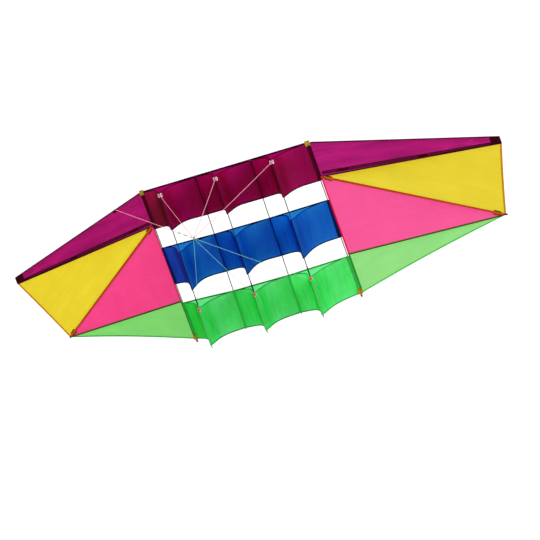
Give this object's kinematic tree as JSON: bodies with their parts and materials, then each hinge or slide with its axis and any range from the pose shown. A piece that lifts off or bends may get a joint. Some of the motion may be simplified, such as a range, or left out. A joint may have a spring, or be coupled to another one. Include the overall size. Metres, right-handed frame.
{
  "type": "winged cellular kite",
  "caption": "Cellular kite with open rows of triangular fabric cells, a coloured panelled wing hinged on each side, and a keel bridle ending at a tow ring.",
  "frame": {"origin": "middle of the back face of the middle fabric row's centre panel", "axes": "+X to the right wing as seen from the bridle side, +Y out of the kite's back, +Z towards the nose"},
  "size_m": [2.9308, 1.4664, 0.9776],
  "materials": {
    "purple_nylon": "ripstop nylon, light sheen",
    "plum_nylon": "ripstop nylon, light sheen",
    "yellow_nylon": "ripstop nylon, light sheen",
    "pink_nylon": "ripstop nylon, light sheen",
    "light_green_nylon": "ripstop nylon, light sheen",
    "green_nylon": "ripstop nylon, light sheen",
    "blue_nylon": "ripstop nylon, light sheen",
    "ochre_pocket": "woven tape, matt",
    "orange_pocket": "doubled nylon, matt",
    "tip_patch": "doubled nylon, matt",
    "keel_patch": "doubled nylon, matt",
    "tail_cap": "soft moulded vinyl",
    "tip_cap": "soft moulded vinyl",
    "rod": "solid glass-fibre rod, satin",
    "bridle_cord": "braided cord",
    "flying_line": "braided cord",
    "tow_ring": "satin"
  },
  "bodies": {
    "centre_body": {"longeron_outer_left": "rod", "longeron_inner_left": "rod", "longeron_inner_right": "rod", "longeron_outer_right": "rod", "nose_edge_rod": "rod", "cross_spar": "rod", "back_sheet_nose": "plum_nylon", "cell_nose_left": "plum_nylon", "cell_nose_centre": "plum_nylon", "cell_nose_right": "plum_nylon", "back_sheet_middle": "blue_nylon", "cell_middle_left": "blue_nylon", "cell_middle_centre": "blue_nylon", "cell_middle_right": "blue_nylon", "back_sheet_tail": "green_nylon", "cell_tail_left": "green_nylon", "cell_tail_centre": "green_nylon", "cell_tail_right": "green_nylon", "keel_rod_left": "rod", "keel_patch_left": "keel_patch", "keel_rod_centre": "rod", "keel_patch_centre": "keel_patch", "keel_rod_right": "rod", "keel_patch_right": "keel_patch", "corner_pocket_nose_left": "ochre_pocket", "corner_pocket_tail_left": "ochre_pocket", "tail_cap_left": "tail_cap", "corner_pocket_nose_right": "ochre_pocket", "corner_pocket_tail_right": "ochre_pocket", "tail_cap_right": "tail_cap", "bridle_upper_left": "bridle_cord", "bridle_lower_left": "bridle_cord", "bridle_upper_centre": "bridle_cord", "bridle_lower_centre": "bridle_cord", "bridle_upper_right": "bridle_cord", "bridle_lower_right": "bridle_cord", "tow_ring": "tow_ring"},
    "left_wing": {"wing_left_purple_panel": "purple_nylon", "wing_left_yellow_panel": "yellow_nylon", "wing_left_pink_panel": "pink_nylon", "wing_left_green_panel": "light_green_nylon", "wing_left_leading_edge_rod": "rod", "wing_left_main_spar": "rod", "wing_left_diagonal_strut": "rod", "wing_left_rear_tip_cap": "tip_cap", "wing_left_tip_patch": "tip_patch", "wing_left_strut_pocket_root": "orange_pocket", "wing_left_strut_pocket_tip": "orange_pocket"},
    "right_wing": {"wing_right_purple_panel": "purple_nylon", "wing_right_yellow_panel": "yellow_nylon", "wing_right_pink_panel": "pink_nylon", "wing_right_green_panel": "light_green_nylon", "wing_right_leading_edge_rod": "rod", "wing_right_main_spar": "rod", "wing_right_diagonal_strut": "rod", "wing_right_rear_tip_cap": "tip_cap", "wing_right_tip_patch": "tip_patch", "wing_right_strut_pocket_root": "orange_pocket", "wing_right_strut_pocket_tip": "orange_pocket"},
    "line": {"flying_line": "flying_line"}
  },
  "joints": [
    {"name": "left_wing_fold", "type": "hinge", "parent": "centre_body", "child": "left_wing", "pos_m": [-0.495, 0.0135, 0.44], "axis": [0, 0.0849, -0.9964], "range_deg": [-10, 100], "stiffness_Nm_per_rad": 4},
    {"name": "right_wing_fold", "type": "hinge", "parent": "centre_body", "child": "right_wing", "pos_m": [0.495, 0.0135, 0.44], "axis": [0, -0.0849, 0.9964], "range_deg": [-10, 100], "stiffness_Nm_per_rad": 4},
    {"name": "line_swing", "type": "hinge", "parent": "centre_body", "child": "line", "pos_m": [0, -0.8, 0.218], "axis": [1, 0, 0], "range_deg": [-40, 40]}
  ]
}
